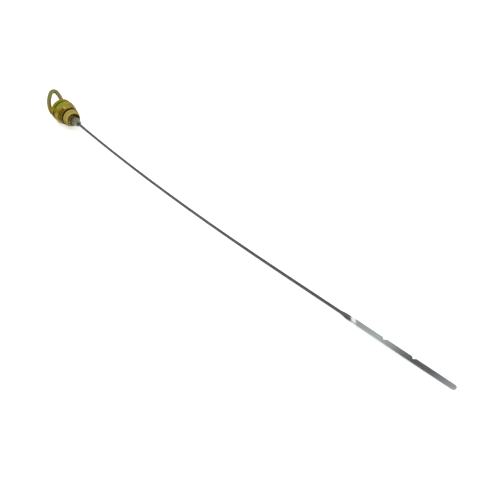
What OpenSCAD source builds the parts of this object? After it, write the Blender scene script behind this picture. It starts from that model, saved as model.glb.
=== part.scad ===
// Engine oil dipstick lying at rest, in millimetres.
// The origin is on the head's axis where the spigot meets the seal groove.
// +X runs along the head's axis towards the blade and +Z points up.
// The lower flat of the hexagon and the tip of the blade lie on one level surface.

/* [Gauge wire] */
// Diameter of the round wire
wire_d = 2.5; // [1.8:0.1:3.4]
// Length of the bowed stretch of the wire, from inside the ferrule
bow_len = 316; // [200:1:600]
// Length of the straight stretch between the bow and the blade
straight_len = 66; // [20:1:150]
// How far the blade's tip stands to the side of the head's axis
tip_aside = 45; // [20:0.5:90]
// Length of the wire's upset end, which the ferrule grips
grip_len = 12; // [6:0.5:14]
// How far the upset end stands out around the wire
grip_step = 0.2; // [0.1:0.05:0.6]

/* [Blade] */
// Length of the flattened end
blade_len = 103.5; // [85:0.5:160]
// Width of the flattened end
blade_w = 4.6; // [3.6:0.1:8]
// Thickness of the flattened end
blade_t = 1; // [0.8:0.1:1.6]
// Length over which the round wire is pressed flat
press_len = 9; // [4:0.5:20]
// Distance from the tip to the low level notch
low_mark = 37; // [15:0.5:60]
// Distance between the low and the high level notches
mark_gap = 26.4; // [10:0.2:50]
// Depth of a level notch
notch_depth = 1.8; // [0.8:0.1:2.6]
// Width of the blunt bottom of a level notch
notch_floor = 0.3; // [0.1:0.1:1.5]

/* [Head] */
// Width across the flats of the hexagon
hex_af = 24; // [22:0.5:30]
// How far the turned corners stand out beyond the flats
corner_proud = 0.5; // [0.3:0.1:1.6]
// How far the corners still stand out beyond the flats at the neck groove
back_proud = 0.1; // [0.05:0.05:0.3]
// Length of the hexagon, from the rim to the neck groove
hex_len = 11; // [10.5:0.1:20]
// Length over which the flats slope down to the rim
flat_len = 10; // [8:0.1:10.4]
// Length over which the corners slope down to the rim
corner_len = 10; // [8:0.1:10.4]
// Length of the round rim behind the seal ring
rim_len = 2; // [1:0.1:4]
// How far the rim stands out beyond the seal ring
rim_cover = 0.2; // [0.1:0.1:0.6]
// How far the corners stand out beyond the rim where they begin
corner_step = 0.2; // [0.1:0.1:0.5]
// Diameter of the locating spigot
spigot_d = 18; // [17:0.1:19]
// Length of the straight wall of the spigot
spigot_len = 2; // [1.5:0.1:10]
// Length of the tapered nose of the spigot
nose_len = 5.2; // [1:0.1:8]
// Thickness of the lip at the end of the nose
lip_t = 0.5; // [0.4:0.1:1.8]
// Depth of the open bore from the end of the nose
mouth_depth = 5.6; // [3:0.1:8]
// Width of the neck groove behind the hexagon
neck_w = 2.6; // [0.8:0.1:3]
// Depth of the neck groove below the rear boss
neck_depth = 0.5; // [0.3:0.1:2]
// How far the rear boss stands inside the flats
boss_inset = 0.05; // [0.05:0.05:1]
// Length of the rear boss
boss_len = 5.5; // [5:0.5:16]
// Radius of the rounded rear edge of the boss
boss_edge = 0.8; // [0.5:0.1:2]

/* [Seal ring] */
// Section diameter of the seal ring
ring_d = 2.1; // [1.8:0.1:3.4]
// How far the ring stands proud of the spigot
ring_proud = 0.5; // [0.4:0.1:1.4]

/* [Ferrule] */
// Diameter of the ferrule's straight wall
ferrule_d = 8.8; // [8.6:0.1:11.6]
// Length of the straight wall beyond the end of the nose
wall_out = 3.4; // [1:0.1:4]
// Thickness of the ferrule's wall at its crimped end
crimp_wall = 1.8; // [1:0.1:2.6]
// Length of the ferrule beyond the end of the nose
ferrule_out = 10.4; // [8:0.1:25]
// Length of the crimped end that closes on the round wire
crimp_len = 5; // [2:0.5:7]
// Radius of the rounded edge at the crimped end
crimp_edge = 0.9; // [0.3:0.1:0.9]
// Diameter of the shank pressed into the head
shank_d = 8; // [6:0.1:8.4]
// Length of the shank
shank_len = 8; // [4:0.5:12]

/* [Pull loop] */
// Diameter of the loop's wire
loop_d = 4.5; // [3:0.1:5]
// Wall of the boss outside each leg
leg_wall = 0.6; // [0.4:0.1:2]
// Depth of each leg in the boss
leg_in = 4.5; // [3:0.5:6]
// Straight length of each leg behind the boss
leg_out = 6; // [0.5:0.5:8]
// Height of the legs above the head's axis, negative when below
leg_rise = -5; // [-6:0.1:2]
// Radius of the bend that turns the loop upwards
bend_r = 8; // [4:0.5:12]
// Angle by which the loop is bent upwards
bend_angle = 65; // [10:1:80]
// Length of the loop from the bend to the middle of its round end
loop_len = 14.8; // [12:0.2:40]
// Radius of the round end
end_r = 4.2; // [4:0.1:7]
// Turn of the loop about the head's axis
loop_lean = -7.5; // [-15:0.5:15]

/* [Fits] */
// Radial gap between the wire and the ferrule
crimp_gap = 0.02; // [0.01:0.01:0.1]
// Radial gap around the ferrule where it stands in the open bore
mouth_gap = 1.7; // [0.5:0.1:2]
// Radial gap between the shank and its hole in the head
shank_gap = 0.02; // [0.01:0.01:0.1]
// Radial gap between a leg of the loop and its hole in the boss
leg_gap = 0.02; // [0.01:0.01:0.1]
// Gap between the seal ring and the floor of its groove
ring_gap = 0.02; // [0.01:0.01:0.1]
// Gap on each side of the seal ring in its groove
ring_side_gap = 0.05; // [0.02:0.01:0.3]

/* [Hidden] */

fn_fine = 96;       // revolved faces
fn_wire = 48;       // wire sections
fn_bow = 3600;      // long bow of the wire
lap = 0.5;          // how far joined and cutting shapes reach past a face
hole_end = 0.6;     // free depth at the end of a blind hole
bite = 0.2;         // how far one stretch of bent wire runs into the next
seam = 0.02;        // how much larger in radius the stretch is that takes it in
flat_sink = 0.1;    // how far the flats run in under the rim
corner_free = 0.12; // how far the round limit stands off the blade's corners
turn_steps = 8;     // steps in which the bow's angle is worked out

// Diameters that follow from the fits
mouth_d = ferrule_d + 2 * mouth_gap;
nose_d = mouth_d + 2 * lip_t;
grip_r = wire_d / 2 + grip_step;
crimp_d = wire_d + 2 * crimp_gap + 2 * crimp_wall;
corner_d = hex_af + 2 * corner_proud;
boss_d = hex_af - 2 * boss_inset;

// The seal ring, its groove and the rim behind it
groove_w = ring_d + 2 * ring_side_gap;
ring_out_r = spigot_d / 2 + ring_proud;
ring_mid_r = ring_out_r - ring_d / 2;
groove_r = ring_out_r - ring_d - ring_gap;
rim_d = 2 * (ring_out_r + rim_cover);
flat_slope = atan2(hex_af / 2 - rim_d / 2 + flat_sink, flat_len);

// Stations along the head's axis
nose_x = spigot_len + nose_len;
seat_x = nose_x - mouth_depth;
shoulder_x = -groove_w;
rim_x = shoulder_x - rim_len;
hex_x = rim_x - hex_len;
boss_x = hex_x - neck_w;
rear_x = boss_x - boss_len;
crimp_x = nose_x + ferrule_out;
bow_x = crimp_x - crimp_len;
bend_x = rear_x - leg_out;

// The bow turns by an angle that brings the tip to its place beside and below the axis
run_len = straight_len + blade_len;
tip_drop = hex_af / 2 - blade_t / 2;
tip_offset = norm([tip_aside, tip_drop]);
bow_roll = atan2(tip_drop, tip_aside);
bow_turn = solve_turn(2 * tip_offset / (bow_len + 2 * run_len) * 180 / PI, turn_steps);
bow_r = bow_len / (bow_turn * PI / 180);

// The far end of the bow, and the direction in which the straight wire leaves it
bow_side = bow_r * (1 - cos(bow_turn));
bow_end = [
    bow_x + bow_r * sin(bow_turn),
    bow_side * cos(bow_roll),
    -bow_side * sin(bow_roll)
];
run_yaw = atan2(sin(bow_turn) * cos(bow_roll), cos(bow_turn));
run_pitch = asin(sin(bow_turn) * sin(bow_roll));
straight_r = wire_d / 2 + seam;
press_r = straight_r + 2 * seam;

// The loop's sides are wide arcs that run smoothly into the round end
leg_y = sqrt(pow(boss_d / 2 - leg_wall - loop_d / 2, 2) - leg_rise * leg_rise);
end_x = loop_len - end_r;
side_r = (leg_y * leg_y + end_x * end_x - end_r * end_r) / (2 * (leg_y - end_r));
side_turn = atan2(end_x, side_r - leg_y);

// Sideways travel of the tip when the wire turns by this angle
function offset_at(turn) =
    bow_len / (turn * PI / 180) * (1 - cos(turn)) + run_len * sin(turn);

// Turning angle whose tip offset is the one wanted
function solve_turn(turn, steps) =
    steps == 0 ? turn : solve_turn(turn * tip_offset / offset_at(turn), steps - 1);

// Lays a shape drawn around Z along the head's axis
module along_axis(x = 0) {
    translate([x, 0, 0]) rotate([0, 90, 0]) children();
}

// Half section of a round bar whose far edge is rounded
module bar_section(r, len, edge) {
    square([r - edge, len]);
    square([r, len - edge]);
    translate([r - edge, len - edge]) circle(edge, $fn = fn_wire);
}

// Plan outline of the flattened end, with its two notches on the far side
module blade_plan() {
    body_len = blade_len - blade_w / 2;
    difference() {
        union() {
            polygon([
                [-lap, -press_r], [press_len, -blade_w / 2], [body_len, -blade_w / 2],
                [body_len, blade_w / 2], [press_len, blade_w / 2], [-lap, press_r]
            ]);
            translate([body_len, 0]) circle(d = blade_w, $fn = fn_wire);
        }
        for (mark = [low_mark, low_mark + mark_gap])
            translate([blade_len - mark, blade_w / 2 - notch_depth])
                polygon([
                    [-notch_floor / 2, 0], [notch_floor / 2, 0],
                    [notch_floor / 2 + notch_depth + lap, notch_depth + lap],
                    [-notch_floor / 2 - notch_depth - lap, notch_depth + lap]
                ]);
    }
}

// Side outline of the flattened end
module blade_side() {
    polygon([
        [-lap, -press_r], [press_len, -blade_t / 2], [blade_len + lap, -blade_t / 2],
        [blade_len + lap, blade_t / 2], [press_len, blade_t / 2], [-lap, press_r]
    ]);
}

// Flattened end along +X, round where it leaves the wire
module blade() {
    corner_r = norm([blade_w, blade_t]) / 2 + corner_free;
    intersection() {
        translate([0, 0, -wire_d]) linear_extrude(2 * wire_d) blade_plan();
        translate([0, blade_w / 2 + lap, 0]) rotate([90, 0, 0])
            linear_extrude(blade_w + 2 * lap) blade_side();
        union() {
            along_axis(-lap)
                cylinder(h = press_len + lap, r1 = straight_r + seam, r2 = corner_r, $fn = fn_wire);
            along_axis(press_len)
                cylinder(h = blade_len - press_len + lap, r = corner_r, $fn = fn_wire);
        }
    }
}

module gauge_wire() color([0.42, 0.43, 0.42]) {
    along_axis(bow_x - grip_len) cylinder(h = grip_len + bite, r = grip_r, $fn = fn_wire);
    rotate([-bow_roll, 0, 0]) translate([bow_x, bow_r, 0]) rotate([0, 0, -90])
        rotate_extrude(angle = bow_turn, $fn = fn_bow)
            translate([bow_r, 0]) circle(d = wire_d, $fn = fn_wire);
    translate(bow_end) rotate([0, run_pitch, run_yaw]) {
        along_axis(-bite) cylinder(h = bite + straight_len, r = straight_r, $fn = fn_wire);
        translate([straight_len, 0, 0]) blade();
    }
}

// Turned sleeve with a shank behind it and a stepped bore for the wire
module crimp_ferrule() color([0.45, 0.48, 0.43]) {
    difference() {
        union() {
            along_axis(seat_x - shank_len) cylinder(h = shank_len + lap, d = shank_d, $fn = fn_fine);
            along_axis(seat_x) cylinder(h = mouth_depth + wall_out, d = ferrule_d, $fn = fn_fine);
            along_axis(nose_x + wall_out)
                cylinder(h = ferrule_out - wall_out - crimp_edge, d1 = ferrule_d, d2 = crimp_d,
                    $fn = fn_fine);
            along_axis(crimp_x - 2 * crimp_edge)
                rotate_extrude($fn = fn_fine) bar_section(crimp_d / 2, 2 * crimp_edge, crimp_edge);
        }
        along_axis(bow_x)
            cylinder(h = crimp_len + lap, r = wire_d / 2 + crimp_gap, $fn = fn_wire);
        along_axis(bow_x - grip_len - hole_end)
            cylinder(h = hole_end + grip_len + bite + crimp_gap, r = grip_r + crimp_gap,
                $fn = fn_wire);
    }
}

// Part of the head with six flats that slope down to the rim, and corners turned round
module hex_part() {
    difference() {
        intersection() {
            along_axis(hex_x) rotate([0, 0, 30])
                cylinder(h = hex_len, d = hex_af / cos(30), $fn = 6);
            union() {
                along_axis(hex_x)
                    cylinder(h = hex_len - corner_len, d1 = hex_af + 2 * back_proud, d2 = corner_d,
                        $fn = fn_fine);
                along_axis(rim_x - corner_len)
                    cylinder(h = corner_len, d1 = corner_d, d2 = rim_d + 2 * corner_step,
                        $fn = fn_fine);
            }
        }
        for (turn = [0 : 60 : 300])
            rotate([turn, 0, 0]) translate([rim_x - flat_len, 0, hex_af / 2])
                rotate([0, flat_slope, 0]) translate([-lap, -corner_d / 2, 0])
                    cube([flat_len / cos(flat_slope) + 2 * lap, corner_d, corner_d / 2]);
    }
}

module head_plug() color([0.62, 0.57, 0.25]) {
    difference() {
        union() {
            hex_part();
            along_axis(rim_x - lap) cylinder(h = rim_len + lap, d = rim_d, $fn = fn_fine);
            along_axis(shoulder_x - lap)
                cylinder(h = groove_w + 2 * lap, r = groove_r, $fn = fn_fine);
            along_axis(0) cylinder(h = spigot_len, d = spigot_d, $fn = fn_fine);
            along_axis(spigot_len)
                cylinder(h = nose_len, d1 = spigot_d, d2 = nose_d, $fn = fn_fine);
            along_axis(boss_x - lap)
                cylinder(h = neck_w + 2 * lap, d = boss_d - 2 * neck_depth, $fn = fn_fine);
            translate([boss_x, 0, 0]) rotate([0, -90, 0])
                rotate_extrude($fn = fn_fine) bar_section(boss_d / 2, boss_len, boss_edge);
        }
        along_axis(seat_x) cylinder(h = mouth_depth + lap, d = mouth_d, $fn = fn_fine);
        along_axis(seat_x - shank_len - hole_end)
            cylinder(h = shank_len + hole_end + lap, r = shank_d / 2 + shank_gap, $fn = fn_fine);
        legs(loop_d / 2 + leg_gap, leg_in + hole_end, lap);
    }
}

module seal_ring() color([0.08, 0.07, 0.06]) {
    along_axis(-groove_w / 2)
        rotate_extrude($fn = fn_fine) translate([ring_mid_r, 0]) circle(d = ring_d, $fn = fn_wire);
}

// Both straight legs, of this radius, from inside the boss to behind it
module legs(r, inside, outside) {
    rotate([loop_lean, 0, 0])
        for (side = [-1, 1])
            translate([rear_x - outside, side * leg_y, leg_rise])
                rotate([0, 90, 0]) cylinder(h = outside + inside, r = r, $fn = fn_wire);
}

// Arc of wire with this section radius around Z, from one angle through another
module wire_arc(radius, section_r, from, turn) {
    rotate([0, 0, from]) rotate_extrude(angle = turn, $fn = fn_fine)
        translate([radius, 0]) circle(section_r, $fn = fn_wire);
}

module pull_loop() color([0.48, 0.46, 0.24]) {
    side_bite = bite / side_r * 180 / PI;
    wide_r = loop_d / 2 + seam;
    bend_out = bend_r * sin(bend_angle);
    bend_up = bend_r * (1 - cos(bend_angle));
    legs(loop_d / 2, leg_in, leg_out + bite);
    rotate([loop_lean, 0, 0]) {
        for (side = [-1, 1])
            translate([bend_x, side * leg_y, leg_rise + bend_r]) rotate([90, 0, 0])
                wire_arc(bend_r, wide_r, -90 - bend_angle, bend_angle);
        translate([bend_x - bend_out, 0, leg_rise + bend_up]) rotate([0, 180 + bend_angle, 0]) {
            for (side = [0, 1])
                mirror([0, side, 0]) translate([0, leg_y - side_r, 0])
                    wire_arc(side_r, loop_d / 2, 90 - side_turn - side_bite,
                        side_turn + 2 * side_bite);
            translate([end_x, 0, 0]) wire_arc(end_r, wide_r, side_turn - 90, 180 - 2 * side_turn);
        }
    }
}

gauge_wire();
crimp_ferrule();
head_plug();
seal_ring();
pull_loop();
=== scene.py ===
"""Engine oil dipstick on a white studio floor: plated head and loop, drawn wire, pressed blade."""
from math import pi

import bpy
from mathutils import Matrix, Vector


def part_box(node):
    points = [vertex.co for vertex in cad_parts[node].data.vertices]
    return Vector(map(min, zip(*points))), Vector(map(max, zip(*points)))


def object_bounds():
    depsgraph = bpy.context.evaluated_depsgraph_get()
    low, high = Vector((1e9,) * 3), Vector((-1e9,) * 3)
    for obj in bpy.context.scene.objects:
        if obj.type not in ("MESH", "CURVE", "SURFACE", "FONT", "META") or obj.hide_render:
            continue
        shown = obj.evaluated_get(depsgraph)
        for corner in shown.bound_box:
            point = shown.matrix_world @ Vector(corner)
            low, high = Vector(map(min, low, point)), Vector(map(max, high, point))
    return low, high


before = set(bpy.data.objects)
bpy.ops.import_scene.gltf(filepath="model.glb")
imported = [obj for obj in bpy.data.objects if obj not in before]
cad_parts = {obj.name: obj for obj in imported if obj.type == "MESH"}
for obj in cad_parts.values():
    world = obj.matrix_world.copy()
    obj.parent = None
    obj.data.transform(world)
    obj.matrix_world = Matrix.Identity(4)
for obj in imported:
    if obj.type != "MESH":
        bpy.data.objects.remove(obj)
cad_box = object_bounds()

MM = 0.001

# Places along the head's axis, in metres, from the rear boss to the nose
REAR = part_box("head_plug")[0][0]
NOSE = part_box("head_plug")[1][0]
NECK = REAR + 5.5 * MM
HEX = NECK + 2.6 * MM
RIM = HEX + 11.0 * MM
SHOULDER = RIM + 2.0 * MM

# Radius of the open bore, and from the axis to the hexagon's flats
BORE_R = 6.1 * MM
FLATS_R = 12.0 * MM

# The far end of the ferrule, and where the wire turns into the blade
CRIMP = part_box("crimp_ferrule")[1][0]
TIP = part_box("gauge_wire")[1][0]
BLADE = TIP - 102.3 * MM

# The blade's middle line seen from above: its place at the tip and its slope
BLADE_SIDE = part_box("gauge_wire")[1][1] - 2.3 * MM
BLADE_SLOPE = 0.1352

# How far the gleam on the blade slants: share of the blade's length per metre across
GLEAM_SLANT = 9.6

# Depth of the finest bump
FINE = 0.02 * MM

# The photograph's viewpoint
CAMERA_AT = (0.71996, -0.29225, 0.39105)
CAMERA_TO = (0.28442, 0.0247, -0.012)
LENS_MM = 57.6
SENSOR_MM = 36.0

# Light: the world and the lamps together show a level white surface about as it is
AMBIENT = 0.62
LAMPS_TO = (0.2, 0.0, 0.0)
FLOOR_WHITE = 0.9
FLOOR_LIFT = 0.54
FLOOR_HALF = 6.0
FLOOR_GAP = 0.05 * MM


def srgb(red, green, blue):
    """Linear colour with alpha from screen values of 0 to 255."""
    def linear(value):
        value /= 255
        return value / 12.92 if value <= 0.04045 else ((value + 0.055) / 1.055) ** 2.4
    return (linear(red), linear(green), linear(blue), 1.0)


# Node helpers

def node(tree, kind, inputs=None, **settings):
    """Adds a node, sets its properties, and gives each input a value or a link."""
    made = tree.nodes.new(kind)
    for name, value in settings.items():
        setattr(made, name, value)
    for key, value in (inputs or {}).items():
        if isinstance(value, bpy.types.NodeSocket):
            tree.links.new(value, made.inputs[key])
        else:
            made.inputs[key].default_value = value
    return made


def maths(tree, operation, *values):
    """Result of a Math node on one, two or three values."""
    return node(tree, "ShaderNodeMath", dict(enumerate(values)), operation=operation).outputs[0]


def times(tree, first, second):
    """Product of two values."""
    return maths(tree, "MULTIPLY", first, second)


def remap(tree, value, low, high, to_low=0.0, to_high=1.0):
    """Value carried from one range to another and held inside it."""
    inputs = {0: value, 1: low, 2: high, 3: to_low, 4: to_high}
    return node(tree, "ShaderNodeMapRange", inputs).outputs[0]


def ramp(tree, factor, stops):
    """Colour ramp of (place, colour) stops over a factor of 0 to 1."""
    made = node(tree, "ShaderNodeValToRGB", {0: factor})
    elements = made.color_ramp.elements
    while len(elements) < len(stops):
        elements.new(0.5)
    for element, (place, colour) in zip(elements, stops):
        element.position = place
        element.color = colour
    return made.outputs[0]


def levels(tree, factor, stops):
    """Ramp of (place, level) stops over a factor of 0 to 1."""
    return ramp(tree, factor, [(place, (level, level, level, 1)) for place, level in stops])


def mix(tree, factor, first, second):
    """Two colours mixed by a factor."""
    made = node(tree, "ShaderNodeMix", {0: factor}, data_type="RGBA")
    for socket, value in ((made.inputs[6], first), (made.inputs[7], second)):
        if isinstance(value, bpy.types.NodeSocket):
            tree.links.new(value, socket)
        else:
            socket.default_value = value
    return made.outputs[2]


def band(tree, value, low, high, soft):
    """Mask that is 1 from low to high, with soft edges of this width."""
    rise = remap(tree, value, low - soft, low)
    fall = remap(tree, value, high, high + soft, 1.0, 0.0)
    return times(tree, rise, fall)


def noise(tree, vector, scale, detail=3.0, roughness=0.55):
    """Noise of 0 to 1 at this scale per metre."""
    inputs = {"Vector": vector, "Scale": scale, "Detail": detail, "Roughness": roughness}
    return node(tree, "ShaderNodeTexNoise", inputs).outputs[0]


def stretch(tree, vector, scale):
    """Vector scaled by (x, y, z)."""
    inputs = {"Vector": vector, "Scale": scale}
    return node(tree, "ShaderNodeMapping", inputs).outputs[0]


def split(tree, vector):
    """The x, y and z of a vector."""
    return node(tree, "ShaderNodeSeparateXYZ", {0: vector}).outputs


def round_the_axis(tree, place):
    """(x, radius, turn) of a point: turn is 0 to 1 round the axis, 0.5 on top, more towards -Y."""
    x, y, z = split(tree, place)
    radius = maths(tree, "SQRT", maths(
        tree, "ADD", maths(tree, "POWER", y, 2.0), maths(tree, "POWER", z, 2.0)))
    side = times(tree, y, -1.0)
    turn = maths(tree, "MULTIPLY_ADD", maths(tree, "ARCTAN2", side, z), 0.5 / pi, 0.5)
    return x, radius, turn


def new_group(name, inputs, outputs):
    """Node group with named sockets: (name, socket kind, value) in, (name, socket kind) out."""
    tree = bpy.data.node_groups.new(name, "ShaderNodeTree")
    for title, kind, value in inputs:
        made = tree.interface.new_socket(name=title, in_out="INPUT", socket_type=kind)
        if value is not None:
            made.default_value = value
    for title, kind in outputs:
        tree.interface.new_socket(name=title, in_out="OUTPUT", socket_type=kind)
    return tree, tree.nodes.new("NodeGroupInput").outputs, tree.nodes.new("NodeGroupOutput").inputs


def use(tree, group, inputs):
    """Outputs of a node group placed in a material with its own values."""
    return node(tree, "ShaderNodeGroup", inputs, node_tree=group).outputs


# Effects that several finishes share

def make_passivation():
    """Iridescent film: its thickness, stirred by two noises, picks a colour from green to pink."""
    tree, given, result = new_group(
        "passivation film",
        [("Vector", "NodeSocketVector", None), ("Thickness", "NodeSocketFloat", 0.5),
         ("Mottle", "NodeSocketFloat", 0.1), ("Scale", "NodeSocketFloat", 120.0)],
        [("Color", "NodeSocketColor")])
    broad = noise(tree, given["Vector"], given["Scale"], 2.0)
    fine = noise(tree, given["Vector"], times(tree, given["Scale"], 6.0), 4.0)
    both = maths(tree, "ADD", times(tree, broad, 0.7), times(tree, fine, 0.3))
    swing = times(tree, maths(tree, "SUBTRACT", both, 0.5), given["Mottle"])
    depth = maths(tree, "MULTIPLY_ADD", swing, 4.0, given["Thickness"])
    colour = ramp(tree, depth, [
        (0.00, srgb(90, 116, 6)),
        (0.16, srgb(104, 130, 16)),
        (0.30, srgb(138, 146, 42)),
        (0.44, srgb(154, 147, 47)),
        (0.56, srgb(164, 148, 64)),
        (0.68, srgb(152, 124, 24)),
        (0.80, srgb(84, 60, 0)),
        (0.90, srgb(147, 126, 106)),
        (1.00, srgb(156, 140, 124)),
    ])
    tree.links.new(colour, result["Color"])
    return tree


def make_handling():
    """Fine scratches along a direction, and cloudy smudges, as masks and as a height."""
    tree, given, result = new_group(
        "handling marks",
        [("Vector", "NodeSocketVector", None), ("Scratch Scale", "NodeSocketFloat", 900.0),
         ("Smudge Scale", "NodeSocketFloat", 150.0)],
        [("Scratches", "NodeSocketFloat"), ("Smudges", "NodeSocketFloat"),
         ("Height", "NodeSocketFloat")])
    lines = noise(tree, given["Vector"], given["Scratch Scale"], 2.0, 0.7)
    scratches = remap(tree, lines, 0.52, 0.66)
    smudges = remap(tree, noise(tree, given["Vector"], given["Smudge Scale"], 4.0), 0.35, 0.7)
    height = maths(tree, "SUBTRACT", times(tree, lines, 0.6), scratches)
    tree.links.new(scratches, result["Scratches"])
    tree.links.new(smudges, result["Smudges"])
    tree.links.new(height, result["Height"])
    return tree


PASSIVATION = make_passivation()
HANDLING = make_handling()

# Shader values of plated metal: a weak sheen of the plating's own tint
COATED = {"Specular IOR Level": 0.2, "Specular Tint": srgb(226, 208, 150)}


# Finishes

def new_material(name, metallic, roughness, **constants):
    """Material with one Principled BSDF; returns it, its tree, its shader and its coordinates."""
    material = bpy.data.materials.new(name)
    material.use_nodes = True
    tree = material.node_tree
    shader = tree.nodes["Principled BSDF"]
    shader.inputs["Metallic"].default_value = metallic
    shader.inputs["Roughness"].default_value = roughness
    for title, value in constants.items():
        shader.inputs[title].default_value = value
    return material, tree, shader, node(tree, "ShaderNodeTexCoord").outputs["Object"]


def surface(tree, shader, colour, roughness, height, distance):
    """Links a colour, a roughness and a bump of this distance into the shader."""
    bump = node(tree, "ShaderNodeBump", {"Height": height, "Distance": distance, "Strength": 0.6})
    tree.links.new(colour, shader.inputs["Base Color"])
    tree.links.new(roughness, shader.inputs["Roughness"])
    tree.links.new(bump.outputs[0], shader.inputs["Normal"])


def handled(tree, shader, colour, vector, scales, roughness, layers, distance=FINE):
    """Surface with handling marks: (scratch, smudge) scales, and (mark, strength, tint) layers."""
    marks = use(tree, HANDLING, {
        "Vector": vector, "Scratch Scale": scales[0], "Smudge Scale": scales[1]})
    for mark, strength, tint in layers:
        colour = mix(tree, times(tree, marks[mark], strength), colour, tint)
    rough = remap(tree, marks["Smudges"], 0.0, 1.0, *roughness)
    surface(tree, shader, colour, rough, marks["Height"], distance)


def head_film(tree, place, x, turn):
    """Film on the head: its thickness changes along the axis, and round it on three stretches."""
    def at(station):
        return (station - REAR) / (NOSE - REAR)

    thickness = levels(tree, remap(tree, x, REAR, NOSE), [
        (at(REAR), 0.40), (at(RIM), 0.52), (at(RIM) + 0.02, 0.79), (at(SHOULDER), 0.79),
        (at(0.0), 0.56), (0.955, 0.58), (0.975, 0.765), (1.0, 0.765),
    ])
    on_neck = band(tree, x, NECK - 0.6 * MM, HEX + 0.9 * MM, 1.4 * MM)
    neck = [
        (0.0, 0.24), (0.30, 0.34), (0.41, 0.46), (0.46, 0.36), (0.51, 0.22), (0.55, 0.10),
        (0.60, 0.04), (0.64, 0.06), (0.70, 0.78), (0.76, 0.80), (1.0, 0.40),
    ]
    on_hexagon = band(tree, x, HEX + 1.8 * MM, RIM - 4.6 * MM, 1.6 * MM)
    hexagon = [
        (0.0, 0.50), (0.25, 0.58), (0.26, 0.96), (0.385, 0.92), (0.392, 0.56), (0.50, 0.46),
        (0.56, 0.44), (0.585, 0.40), (0.62, 0.56), (0.66, 0.66), (0.71, 0.56), (0.76, 0.60),
        (1.0, 0.50),
    ]
    on_front = times(tree, remap(tree, x, RIM - 5.6 * MM, RIM - 3.4 * MM),
                     remap(tree, x, RIM + 0.1 * MM, RIM + 0.8 * MM, 1.0, 0.0))
    front = [
        (0.0, 0.50), (0.25, 0.58), (0.26, 0.92), (0.42, 0.90), (0.452, 1.00), (0.46, 0.57),
        (0.562, 0.57), (0.574, 0.81), (0.62, 0.78), (0.66, 0.77), (0.70, 0.80), (0.78, 0.80),
        (0.86, 0.62), (1.0, 0.50),
    ]
    for mask, stops in ((on_neck, neck), (on_hexagon, hexagon), (on_front, front)):
        thickness = mix(tree, mask, thickness, levels(tree, turn, stops))
    return use(tree, PASSIVATION, {
        "Vector": place, "Thickness": thickness, "Mottle": 0.14, "Scale": 140.0})["Color"]


def head_tints(tree, x, radius, turn):
    """Stains, painted shades, painted light, a painted highlight and pale bands over the head's
    film, as (mask, colour) from first to last.
    """
    # An orange run from the loop's near leg to the hexagon
    run = times(tree, band(tree, turn, 0.652, 0.676, 0.02),
                band(tree, x, REAR, HEX + 2.0 * MM, 3.0 * MM))

    # A darker rear, most of all low on the left: painted shade
    low_left = times(tree, remap(tree, turn, 0.68, 0.75), 0.95)
    rear = maths(tree, "MAXIMUM", remap(tree, x, NECK - 1.0 * MM, NECK + 0.5 * MM, 0.30, 0.0),
                 times(tree, low_left, remap(tree, x, HEX, HEX + 2.5 * MM, 1.0, 0.0)))

    # Green film where the hexagon starts, with painted shade low on the left, and a slight painted
    # shade half way along
    start = times(tree, band(tree, x, HEX + 0.8 * MM, HEX + 1.8 * MM, 1.6 * MM), levels(
        tree, turn, [(0.49, 0.0), (0.56, 0.75), (0.66, 0.75), (0.71, 0.95), (0.9, 0.0)]))
    start_green_and_shade = mix(tree, remap(tree, turn, 0.62, 0.70), srgb(105, 138, 32), srgb(78, 82, 8))
    middle = times(tree, band(tree, x, HEX + 4.6 * MM, HEX + 7.4 * MM, 2.0 * MM), 0.2)

    # Painted shade over the front half, low on the left
    underside_shade = times(tree, remap(tree, turn, 0.70, 0.76, 0.0, 0.65),
                  remap(tree, x, RIM - 5.0 * MM, RIM - 1.5 * MM))

    # A pale band on the spigot, painted light that is strongest on top, a pale band on the nose,
    # and a painted highlight (glint) on top of the taper
    spigot_painted_light = times(tree, band(tree, x, 0.3 * MM, 1.5 * MM, 0.8 * MM),
                      remap(tree, turn, 0.50, 0.58, 0.75, 0.35))
    on_nose = times(tree, band(tree, x, NOSE - 2.7 * MM, NOSE - 1.6 * MM, 0.8 * MM), 0.4)
    glint = times(tree, band(tree, x, RIM - 3.6 * MM, RIM - 0.8 * MM, 1.0 * MM),
                  band(tree, turn, 0.535, 0.562, 0.012))
    pale = maths(tree, "MAXIMUM", maths(tree, "MAXIMUM", spigot_painted_light, on_nose),
                 times(tree, glint, 0.5))

    # A dark lip, and the bore with painted light and shade: dark brown shade on the far side, lit
    # pale on the near side
    lip = times(tree, remap(tree, x, NOSE - 0.9 * MM, NOSE - 0.6 * MM), 0.85)
    bore = times(tree, remap(tree, radius, BORE_R + 0.02 * MM, BORE_R + 0.1 * MM, 1.0, 0.0),
                 remap(tree, x, NOSE - 6.5 * MM, NOSE))
    bore_light_and_shade = mix(tree, remap(tree, turn, 0.49, 0.55), srgb(92, 66, 14), srgb(230, 208, 150))

    # The hexagon's turned corners
    corners = times(tree, remap(tree, radius, FLATS_R + 0.1 * MM, FLATS_R + 0.4 * MM), 0.3)

    return [
        (times(tree, run, 0.6), srgb(150, 120, 40)),
        (rear, srgb(62, 64, 2)),
        (start, start_green_and_shade),
        (middle, srgb(104, 92, 16)),
        (underside_shade, srgb(78, 72, 26)),
        (pale, srgb(196, 178, 124)),
        (lip, srgb(60, 44, 4)),
        (remap(tree, bore, 0.0, 0.02), bore_light_and_shade),
        (corners, srgb(158, 160, 70)),
    ]


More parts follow.
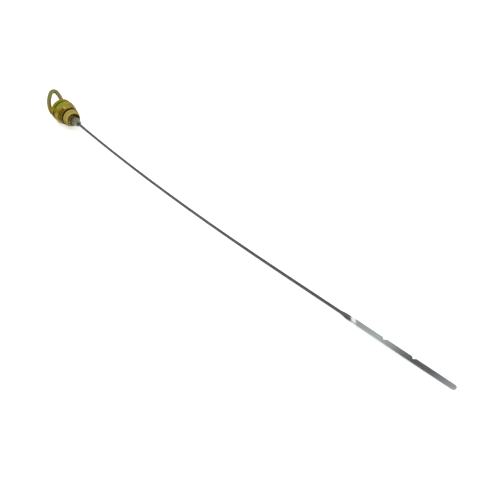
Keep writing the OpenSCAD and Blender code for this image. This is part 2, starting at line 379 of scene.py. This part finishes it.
def head_plating():
    """Yellow passivated zinc: green in the neck, gold on top, brown and pink on the taper."""
    material, tree, shader, place = new_material("yellow passivated head", 0.7, 0.36, **COATED)
    x, radius, turn = round_the_axis(tree, place)
    colour = head_film(tree, place, x, turn)
    for mask, tint in head_tints(tree, x, radius, turn):
        colour = mix(tree, mask, colour, tint)
    handled(tree, shader, colour, stretch(tree, place, (2.5, 0.6, 0.6)), (1100.0, 170.0),
            (0.28, 0.46), [("Scratches", 0.12, srgb(184, 168, 80))])
    return material


def loop_plating():
    """The same plating on bent wire: olive, with orange-brown where the legs leave the boss."""
    material, tree, shader, place = new_material("yellow passivated loop", 0.75, 0.38, **COATED)
    x, y, _ = split(tree, place)
    roots = remap(tree, x, REAR - 17.0 * MM, REAR - 5.0 * MM)
    thickness = levels(tree, roots, [(0.0, 0.36), (0.35, 0.52), (0.75, 0.70), (1.0, 0.73)])
    film = use(tree, PASSIVATION, {
        "Vector": place, "Thickness": thickness, "Mottle": 0.10, "Scale": 110.0})["Color"]
    # Near leg: orange-brown towards the boss, then darker where it meets the boss as painted shade
    near = ramp(tree, roots, [
        (0.0, srgb(126, 122, 84)), (0.4, srgb(130, 114, 66)), (0.62, srgb(142, 112, 40)),
        (0.78, srgb(112, 108, 32)), (1.0, srgb(88, 90, 22)),
    ])
    far = ramp(tree, roots, [
        (0.0, srgb(126, 122, 84)), (0.25, srgb(164, 132, 104)), (0.6, srgb(150, 118, 76)),
        (1.0, srgb(120, 110, 50)),
    ])
    legs = mix(tree, remap(tree, y, 0.0, 2.0 * MM), near, far)
    handled(tree, shader, mix(tree, 0.75, film, legs), place, (1300.0, 200.0),
            (0.30, 0.48), [("Scratches", 0.15, srgb(180, 172, 118))])
    return material


def ferrule_zinc():
    """Grey-green zinc, painted pale tan inside the head's mouth as bounce light from the gold bore,
    with painted brown shade near the mouth, and dark where the wire leaves it.
    """
    material, tree, shader, place = new_material("grey zinc ferrule", 0.7, 0.42)
    x, radius, turn = round_the_axis(tree, place)
    # Along the ferrule: pale tan inside the head's mouth, painted bounce light that the mouth's
    # shade darkens to brown, then grey-green
    tone = ramp(tree, remap(tree, x, NOSE - 6.0 * MM, CRIMP), [
        (0.00, srgb(244, 222, 170)), (0.36, srgb(244, 228, 182)), (0.41, srgb(118, 108, 72)),
        (0.54, srgb(98, 101, 74)), (0.80, srgb(116, 122, 94)), (1.00, srgb(116, 124, 102)),
    ])
    # Brown near the mouth on the near side: painted shade and painted reflection of the gold bore
    bore_reflection_shade = times(tree, remap(tree, turn, 0.58, 0.66, 0.0, 0.9),
                  band(tree, x, NOSE + 0.5 * MM, NOSE + 5.0 * MM, 3.5 * MM))
    tone = mix(tree, bore_reflection_shade, tone, srgb(84, 74, 38))
    eye = times(tree, remap(tree, radius, 1.4 * MM, 1.8 * MM, 1.0, 0.0),
                remap(tree, x, CRIMP - 0.6 * MM, CRIMP - 0.2 * MM))
    tone = mix(tree, eye, tone, srgb(56, 62, 52))
    handled(tree, shader, tone, stretch(tree, place, (3.0, 0.5, 0.5)), (1500.0, 260.0),
            (0.34, 0.52), [("Smudges", 0.3, srgb(88, 92, 82)),
                           ("Scratches", 0.25, srgb(170, 176, 164))], 1.5 * FINE)
    return material


def wire_drawn():
    """Dull drawn steel: long draw lines, dark along the wire, lighter where it is pressed flat,
    with painted reflections along the blade.
    """
    material, tree, shader, place = new_material("drawn steel wire", 0.8, 0.42)
    x, y, _ = split(tree, place)
    wire = ramp(tree, remap(tree, x, CRIMP, BLADE), [
        (0.0, srgb(76, 78, 76)), (0.5, srgb(84, 85, 84)), (1.0, srgb(82, 83, 83)),
    ])
    flat = remap(tree, x, BLADE, TIP)
    # Along the blade: painted reflections, light after the press, darkest about two thirds along,
    # light again at the tip
    blade = ramp(tree, flat, [
        (0.00, srgb(86, 87, 87)), (0.095, srgb(112, 114, 113)), (0.115, srgb(158, 163, 164)),
        (0.16, srgb(158, 163, 164)), (0.34, srgb(171, 176, 177)), (0.47, srgb(141, 147, 148)),
        (0.57, srgb(105, 110, 111)), (0.65, srgb(80, 83, 84)), (0.78, srgb(88, 93, 94)),
        (0.88, srgb(124, 129, 131)), (1.00, srgb(162, 164, 170)),
    ])

    # Where the round turns flat: painted shade on the near side, then a slanted painted highlight
    # (the gleam)
    middle = maths(tree, "MULTIPLY_ADD", maths(tree, "SUBTRACT", x, TIP), BLADE_SLOPE, BLADE_SIDE)
    across = maths(tree, "SUBTRACT", y, middle)
    shade = times(tree, band(tree, flat, 0.055, 0.09, 0.02),
                  remap(tree, across, -1.5 * MM, 0.1 * MM, 0.9, 0.0))
    blade = mix(tree, shade, blade, srgb(58, 60, 60))
    slanted = maths(tree, "MULTIPLY_ADD", across, GLEAM_SLANT, flat)
    gleam = times(tree, band(tree, slanted, 0.102, 0.128, 0.018),
                  remap(tree, across, -1.9 * MM, -0.7 * MM, 0.3, 1.0))
    blade = mix(tree, gleam, blade, srgb(255, 255, 255))

    tone = mix(tree, remap(tree, x, BLADE - 1.0 * MM, BLADE + 4.0 * MM), wire, blade)
    handled(tree, shader, tone, stretch(tree, place, (0.03, 1.0, 1.0)), (1800.0, 120.0),
            (0.34, 0.5), [("Smudges", 0.18, srgb(70, 70, 68)),
                          ("Scratches", 0.16, srgb(190, 190, 188))])
    return material


def seal_rubber():
    """Near-black rubber with a faint bloom and a moulded skin."""
    material, tree, shader, place = new_material(
        "black rubber seal", 0.0, 0.5, **{"Specular IOR Level": 0.06})
    bloom = remap(tree, noise(tree, place, 260.0, 4.0), 0.4, 0.75)
    colour = mix(tree, times(tree, bloom, 0.5), srgb(36, 20, 0), srgb(54, 36, 6))
    roughness = remap(tree, bloom, 0.0, 1.0, 0.42, 0.62)
    surface(tree, shader, colour, roughness, noise(tree, place, 2400.0, 2.0), FINE)
    return material


def dress(name, material):
    """Gives a CAD node its finish in every material slot."""
    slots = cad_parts[name].material_slots
    if not slots:
        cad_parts[name].data.materials.append(material)
    for slot in slots:
        slot.material = material


dress("head_plug", head_plating())
dress("pull_loop", loop_plating())
dress("crimp_ferrule", ferrule_zinc())
dress("gauge_wire", wire_drawn())
dress("seal_ring", seal_rubber())


# Studio

def white_where_seen(tree):
    """1 for camera, glossy and transmission rays, and 0 for the light that reaches surfaces."""
    path = node(tree, "ShaderNodeLightPath").outputs
    seen = maths(tree, "MAXIMUM", path["Is Camera Ray"], path["Is Glossy Ray"])
    return maths(tree, "MAXIMUM", seen, path["Is Transmission Ray"])


def make_world():
    """White where it is seen, and a plain ambient level for the light it gives."""
    world = bpy.data.worlds.new("white studio")
    bpy.context.scene.world = world
    world.use_nodes = True
    tree = world.node_tree
    strength = remap(tree, white_where_seen(tree), 0.0, 1.0, AMBIENT, 1.0)
    background = tree.nodes["Background"]
    background.inputs["Color"].default_value = (1, 1, 1, 1)
    tree.links.new(strength, background.inputs["Strength"])


def make_floor():
    """Level white floor that the part lies on; a lift where it is seen makes it paper white."""
    level = cad_box[0][2] - FLOOR_GAP
    corners = [(side * FLOOR_HALF, end * FLOOR_HALF, level)
               for side, end in ((-1, -1), (1, -1), (1, 1), (-1, 1))]
    mesh = bpy.data.meshes.new("studio_floor")
    mesh.from_pydata(corners, [], [(0, 1, 2, 3)])
    floor = bpy.data.objects.new("studio_floor", mesh)
    bpy.context.scene.collection.objects.link(floor)
    material = bpy.data.materials.new("white floor")
    material.use_nodes = True
    tree = material.node_tree
    tree.nodes.remove(tree.nodes["Principled BSDF"])
    matt = node(tree, "ShaderNodeBsdfDiffuse", {0: (FLOOR_WHITE, FLOOR_WHITE, FLOOR_WHITE, 1)})
    lift = times(tree, white_where_seen(tree), FLOOR_LIFT)
    glow = node(tree, "ShaderNodeEmission", {"Strength": lift})
    both = node(tree, "ShaderNodeAddShader", {0: matt.outputs[0], 1: glow.outputs[0]})
    tree.links.new(both.outputs[0], tree.nodes["Material Output"].inputs["Surface"])
    mesh.materials.append(material)


def aim(thing, place, target):
    """Puts a lamp or a camera at a place, turned to its target."""
    thing.location = place
    look = Vector(target) - Vector(place)
    thing.rotation_euler = look.to_track_quat("-Z", "Y").to_euler()
    bpy.context.scene.collection.objects.link(thing)


def make_lamp(name, place, size, watts):
    """Square soft lamp turned to the part, which polished metal doesn't mirror."""
    light = bpy.data.lights.new(name, "AREA")
    light.shape = "SQUARE"
    light.size = size
    light.energy = watts
    lamp = bpy.data.objects.new(name, light)
    lamp.visible_glossy = False
    aim(lamp, place, LAMPS_TO)


def make_camera():
    """Camera at the photograph's viewpoint."""
    data = bpy.data.cameras.new("camera")
    data.lens = LENS_MM
    data.sensor_width = SENSOR_MM
    data.clip_start = 0.01
    data.clip_end = 50
    camera = bpy.data.objects.new("camera", data)
    aim(camera, CAMERA_AT, CAMERA_TO)
    bpy.context.scene.camera = camera


make_world()
make_floor()
make_lamp("key_lamp", (-0.5, -0.6, 1.5), 1.0, 9.0)
make_lamp("far_lamp", (0.9, 1.4, 1.1), 1.2, 4.0)
make_camera()
bpy.context.scene.view_settings.view_transform = "Standard"
